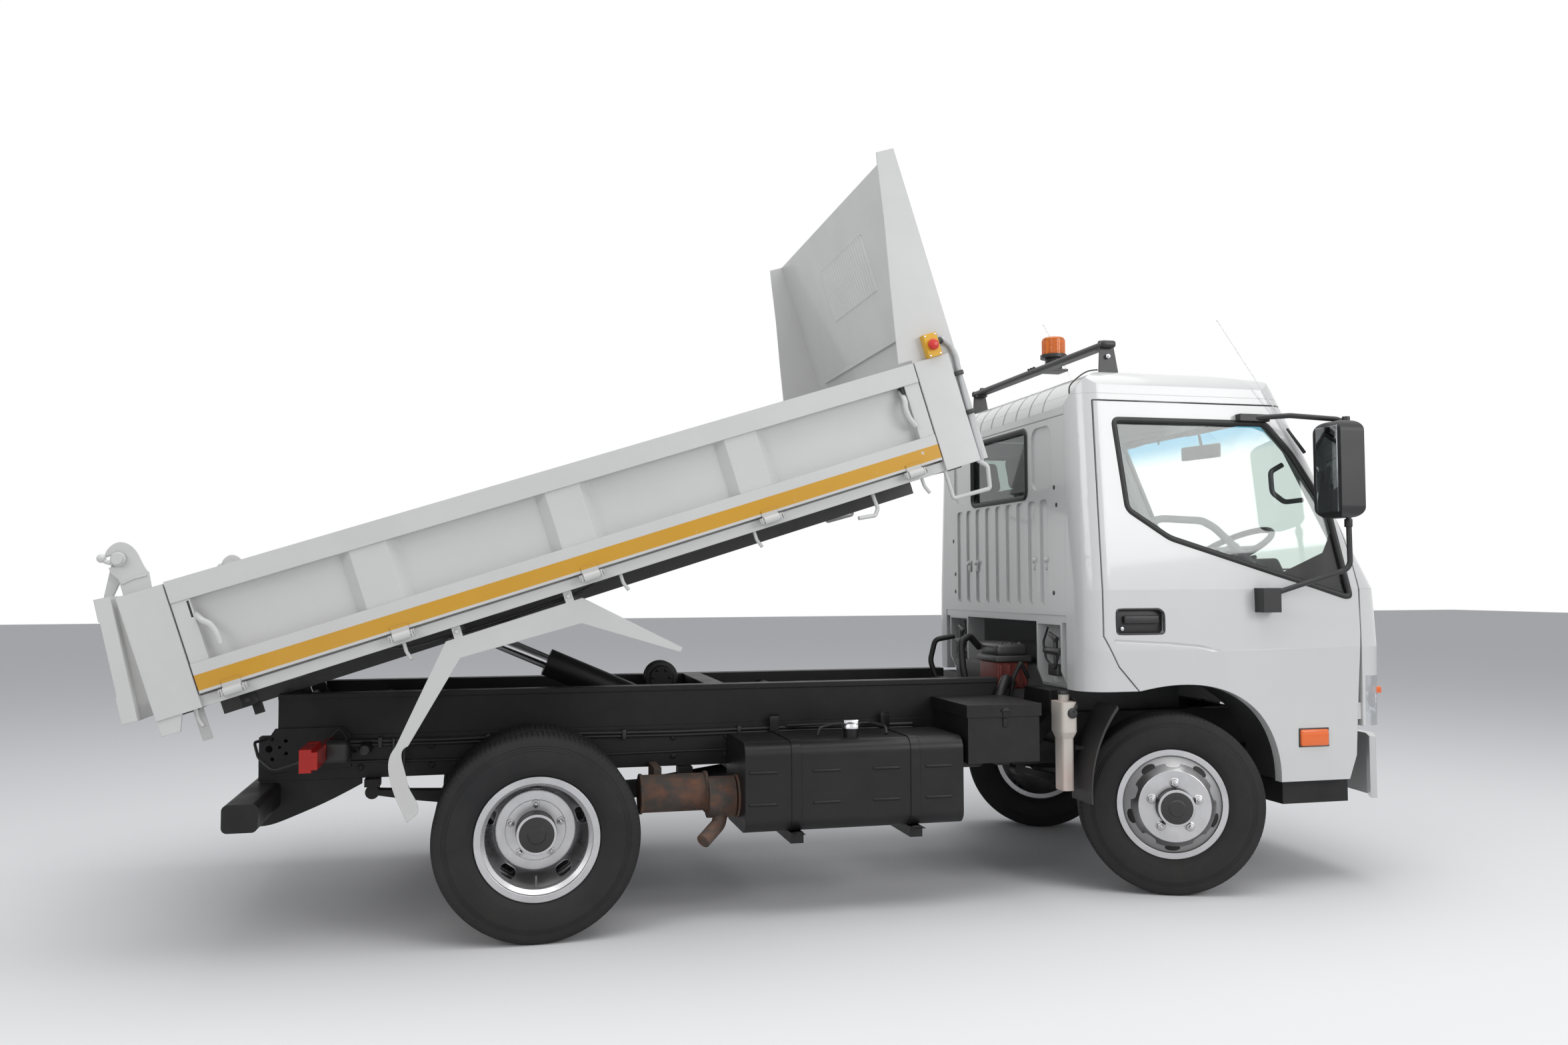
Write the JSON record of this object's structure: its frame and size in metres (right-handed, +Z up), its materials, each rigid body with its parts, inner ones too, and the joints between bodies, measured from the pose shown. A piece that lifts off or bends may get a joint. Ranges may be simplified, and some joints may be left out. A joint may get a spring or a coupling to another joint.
{
  "type": "dump truck",
  "caption": "Light forward-control dump truck with opening doors, a tilting cab and a drop-sided bed raised part way on its hoist.",
  "frame": {"origin": "on the ground, midway along the truck's overall length and on its centre plane", "axes": "+X forwards, +Y to the truck's left, +Z up"},
  "size_m": [5.0203, 2.15, 2.9476],
  "materials": {
    "cab_white": "gloss white paint",
    "bed_white": "satin white paint with a yellow stripe along each side",
    "chassis_black": "satin black paint",
    "tank_black": "satin black paint",
    "engine_iron": "dusty cast iron with a red cover",
    "exhaust_steel": "rusty steel",
    "lamp_plastic": "clear and red lenses",
    "beacon_plastic": "amber lens",
    "milky_plastic": "translucent plastic",
    "black_plastic": "grained",
    "dash_plastic": "grained",
    "seat_fabric": "woven",
    "switch_plastic": "yellow box with a red button",
    "rack_aluminium": "dull",
    "rod_chrome": "polished",
    "wheel_chrome": "bright plated steel",
    "window_glass": "clear",
    "tyre_rubber": "ribbed tread"
  },
  "bodies": {
    "chassis": {"chassis_frame": "chassis_black", "subframe": "chassis_black", "front_axle": "chassis_black", "rear_axle": "chassis_black", "leaf_springs": "chassis_black", "engine": "engine_iron", "drive_shaft": "chassis_black", "fuel_tank": "tank_black", "battery_box": "tank_black", "exhaust": "exhaust_steel", "underrun_bar": "chassis_black", "tail_lamps": "lamp_plastic", "front_bumper": "cab_white", "coolant_reservoir": "milky_plastic", "cab_rear_mounts": "chassis_black", "front_mudflaps": "black_plastic", "cab_steps": "black_plastic"},
    "cab": {"cab_roof": "cab_white", "cab_back_wall": "cab_white", "rear_window": "window_glass", "cab_side_frames": "cab_white", "cab_front_panel": "cab_white", "windscreen": "window_glass", "cab_floor": "chassis_black", "dashboard": "dash_plastic", "seats": "seat_fabric", "headlamps": "lamp_plastic", "roof_rack": "rack_aluminium", "beacon": "beacon_plastic"},
    "right_door_body": {"right_door": "cab_white", "right_door_glass": "window_glass", "right_mirror": "black_plastic"},
    "left_door_body": {"left_door": "cab_white", "left_door_glass": "window_glass", "left_mirror": "black_plastic"},
    "steering_wheel_body": {"steering_wheel": "dash_plastic"},
    "bed": {"bed_floor": "bed_white", "headboard": "bed_white", "rear_posts": "bed_white", "bed_mudguards": "bed_white", "stop_switch": "switch_plastic"},
    "right_drop_side": {"drop_side_right": "bed_white"},
    "left_drop_side": {"drop_side_left": "bed_white"},
    "tailgate_body": {"tailgate": "bed_white"},
    "hoist_barrel_body": {"hoist_barrel": "chassis_black"},
    "hoist_rod_body": {"hoist_rod": "rod_chrome"},
    "right_knuckle": {"knuckle_right": "chassis_black"},
    "left_knuckle": {"knuckle_left": "chassis_black"},
    "right_front_wheel": {"front_rim_right": "wheel_chrome", "front_tyre_right": "tyre_rubber"},
    "left_front_wheel": {"front_rim_left": "wheel_chrome", "front_tyre_left": "tyre_rubber"},
    "right_rear_wheels": {"rear_rims_right": "wheel_chrome", "rear_tyres_right": "tyre_rubber"},
    "left_rear_wheels": {"rear_rims_left": "wheel_chrome", "rear_tyres_left": "tyre_rubber"}
  },
  "joints": [
    {"name": "cab_tilt", "type": "hinge", "parent": "chassis", "child": "cab", "pos_m": [2.426, 0, 0.675], "axis": [0, 1, 0], "range_deg": [0, 40]},
    {"name": "right_door_swing", "type": "hinge", "parent": "cab", "child": "right_door_body", "pos_m": [2.333, -0.847, 1.2], "axis": [0, 0, 1], "range_deg": [0, 65]},
    {"name": "left_door_swing", "type": "hinge", "parent": "cab", "child": "left_door_body", "pos_m": [2.333, 0.847, 1.2], "axis": [0, 0, -1], "range_deg": [0, 65]},
    {"name": "steering_wheel_turn", "type": "hinge", "parent": "cab", "child": "steering_wheel_body", "pos_m": [2.011, -0.4, 1.42], "axis": [-0.4695, 0, 0.8829], "range_deg": [-255, 1010]},
    {"name": "bed_tilt", "type": "hinge", "parent": "chassis", "child": "bed", "pos_m": [-1.958, 0, 0.826], "axis": [0, -1, 0], "range_deg": [-17.6, 32.4]},
    {"name": "right_side_drop", "type": "hinge", "parent": "bed", "child": "right_drop_side", "pos_m": [-0.90326, -0.94, 1.30431], "axis": [0.9532, 0, 0.3024], "range_deg": [0, 175]},
    {"name": "left_side_drop", "type": "hinge", "parent": "bed", "child": "left_drop_side", "pos_m": [-0.90326, 0.94, 1.30431], "axis": [-0.9532, 0, -0.3024], "range_deg": [0, 175]},
    {"name": "tailgate_swing", "type": "hinge", "parent": "bed", "child": "tailgate_body", "pos_m": [-2.42962, 0, 1.36356], "axis": [0, 1, 0], "range_deg": [-5, 80]},
    {"name": "hoist_swing", "type": "hinge", "parent": "chassis", "child": "hoist_barrel_body", "pos_m": [-0.24, 0, 0.61], "axis": [0, 1, 0], "range_deg": [-5.4, 9.8]},
    {"name": "hoist_slide", "type": "slide", "parent": "hoist_barrel_body", "child": "hoist_rod_body", "axis": [-0.9157, 0, 0.4018], "range_m": [-0.162, 0.296]},
    {"name": "right_steer", "type": "hinge", "parent": "chassis", "child": "right_knuckle", "pos_m": [1.541, -0.6, 0.369], "axis": [0, 0, 1], "range_deg": [-14, 56]},
    {"name": "left_steer", "type": "hinge", "parent": "chassis", "child": "left_knuckle", "pos_m": [1.541, 0.6, 0.369], "axis": [0, 0, 1], "range_deg": [-14, 56]},
    {"name": "right_front_roll", "type": "hinge", "parent": "right_knuckle", "child": "right_front_wheel", "pos_m": [1.49692, -0.71483, 0.369], "axis": [0.3584, 0.9336, 0], "continuous": true},
    {"name": "left_front_roll", "type": "hinge", "parent": "left_knuckle", "child": "left_front_wheel", "pos_m": [1.58508, 0.71483, 0.369], "axis": [0.3584, 0.9336, 0], "continuous": true},
    {"name": "right_rear_roll", "type": "hinge", "parent": "chassis", "child": "right_rear_wheels", "pos_m": [-1.075, -0.637, 0.369], "axis": [0, 1, 0], "continuous": true},
    {"name": "left_rear_roll", "type": "hinge", "parent": "chassis", "child": "left_rear_wheels", "pos_m": [-1.075, 0.637, 0.369], "axis": [0, 1, 0], "continuous": true}
  ],
  "couplings": [
    {"joint": "left_steer", "follows": "right_steer", "ratio": 1},
    {"joint": "steering_wheel_turn", "follows": "right_steer", "ratio": 18},
    {"joint": "hoist_swing", "follows": "bed_tilt", "ratio": 0.3},
    {"joint": "hoist_slide", "follows": "bed_tilt", "m_per_rad": 0.52}
  ]
}
